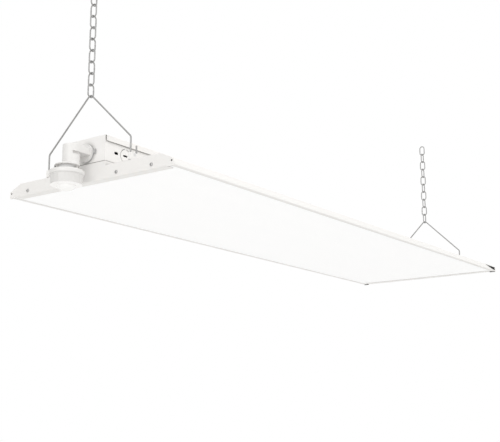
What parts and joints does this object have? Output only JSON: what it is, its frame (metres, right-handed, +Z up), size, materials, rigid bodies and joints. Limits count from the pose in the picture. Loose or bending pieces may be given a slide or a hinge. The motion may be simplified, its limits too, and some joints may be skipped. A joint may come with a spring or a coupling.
{
  "type": "linear high bay light",
  "caption": "Long flat ceiling light hung level from chains on wire V-hooks, with a frosted lens, a driver channel on top and a swivelling motion sensor at one end.",
  "frame": {"origin": "midway between the two chains, at the height where the top links bear on their ceiling hooks", "axes": "+X along the light, away from the sensor; +Y across it; +Z up"},
  "size_m": [1.255, 0.359, 0.3642],
  "materials": {
    "pan_paint": "white powder coat, satin",
    "cap_paint": "white powder coat, satin",
    "channel_paint": "white powder coat, satin",
    "clevis_paint": "white powder coat on the clevises",
    "pin_zinc": "bright zinc plated pins",
    "hook_zinc": "zinc plated wire",
    "chain_zinc": "zinc plated wire",
    "lens_frosted": "frosted white diffuser sheet",
    "seal_rubber": "black foam rubber",
    "gasket_rubber": "mid grey moulded rubber",
    "bulkhead_zinc": "galvanised sheet",
    "cap_screw_steel": "zinc plated screws",
    "inner_screw_steel": "zinc plated screws",
    "rivet_steel": "steel rivets",
    "board_white": "white solder mask on an aluminium core board",
    "led_phosphor": "phosphor under clear silicone",
    "driver_case": "grey-white potted driver case",
    "terminal_plastic": "natural nylon",
    "lead_insulation": "PVC insulation",
    "sensor_white": "moulded white plastic",
    "sensor_grey": "moulded pale grey plastic",
    "latch_plastic": "moulded dark grey plastic",
    "sensor_dome_white": "translucent white lens",
    "locknut_zinc": "zinc plated",
    "sensor_board_green": "green circuit board",
    "detector_can": "nickel plated can"
  },
  "bodies": {
    "ceiling_links": {"near_chain_link_1": "chain_zinc", "far_chain_link_1": "chain_zinc"},
    "second_links": {"near_chain_link_2": "chain_zinc", "far_chain_link_2": "chain_zinc"},
    "near_chain": {"near_chain_link_3": "chain_zinc", "near_chain_link_4": "chain_zinc", "near_chain_link_5": "chain_zinc", "near_chain_link_6": "chain_zinc", "near_chain_link_7": "chain_zinc", "near_chain_link_8": "chain_zinc", "near_chain_link_9": "chain_zinc", "near_chain_link_10": "chain_zinc"},
    "fixture": {"housing_pan": "pan_paint", "near_end_cap": "cap_paint", "far_end_cap": "cap_paint", "driver_channel": "channel_paint", "channel_lid": "channel_paint", "near_channel_end": "channel_paint", "far_channel_end": "channel_paint", "left_rail": "channel_paint", "right_rail": "channel_paint", "hook_clevises": "clevis_paint", "hook_pins": "pin_zinc", "near_v_hook": "hook_zinc", "far_v_hook": "hook_zinc", "lens": "lens_frosted", "near_end_seal": "seal_rubber", "far_end_seal": "seal_rubber", "wire_grommets": "seal_rubber", "sensor_gasket": "gasket_rubber", "end_bulkheads": "bulkhead_zinc", "end_cap_screws": "cap_screw_steel", "lid_screws": "inner_screw_steel", "driver_screws": "inner_screw_steel", "top_rivets": "rivet_steel", "board_rivets": "rivet_steel", "led_boards": "board_white", "led_packages": "led_phosphor", "near_driver": "driver_case", "far_driver": "driver_case", "terminal_block": "terminal_plastic", "inner_leads": "lead_insulation"},
    "far_chain": {"far_chain_link_3": "chain_zinc", "far_chain_link_4": "chain_zinc", "far_chain_link_5": "chain_zinc", "far_chain_link_6": "chain_zinc", "far_chain_link_7": "chain_zinc", "far_chain_link_8": "chain_zinc", "far_chain_link_9": "chain_zinc", "far_chain_link_10": "chain_zinc"},
    "sensor_arm": {"sensor_arm": "sensor_white", "sensor_locknut": "locknut_zinc", "sensor_latch": "latch_plastic"},
    "sensor_head": {"sensor_neck": "sensor_grey", "sensor_cover": "sensor_white", "sensor_body": "sensor_white", "sensor_dome": "sensor_dome_white", "sensor_board": "sensor_board_green", "sensor_detector": "detector_can"}
  },
  "joints": [
    {"name": "swing_across", "type": "hinge", "parent": "ceiling_links", "child": "second_links", "pos_m": [0, 0, -0.0185], "axis": [1, 0, 0], "range_deg": [-30, 30]},
    {"name": "sway_along", "type": "hinge", "parent": "second_links", "child": "near_chain", "pos_m": [-0.5882, 0, -0.0382], "axis": [0, 1, 0], "range_deg": [-30, 30]},
    {"name": "housing_level", "type": "hinge", "parent": "near_chain", "child": "fixture", "pos_m": [-0.5882, 0, -0.19565], "axis": [0, 1, 0], "range_deg": [-30, 30]},
    {"name": "far_chain_sway", "type": "hinge", "parent": "fixture", "child": "far_chain", "pos_m": [0.5882, 0, -0.19565], "axis": [0, 1, 0], "range_deg": [-30, 30]},
    {"name": "sensor_arm_swivel", "type": "hinge", "parent": "fixture", "child": "sensor_arm", "pos_m": [-0.591, 0, -0.29287], "axis": [1, 0, 0], "range_deg": [-90, 90]},
    {"name": "sensor_head_twist", "type": "hinge", "parent": "sensor_arm", "child": "sensor_head", "pos_m": [-0.6332, 0, -0.32207], "axis": [0, 0, 1], "range_deg": [-90, 90]}
  ],
  "couplings": [
    {"joint": "housing_level", "follows": "sway_along", "ratio": -1},
    {"joint": "far_chain_sway", "follows": "sway_along", "ratio": 1}
  ]
}
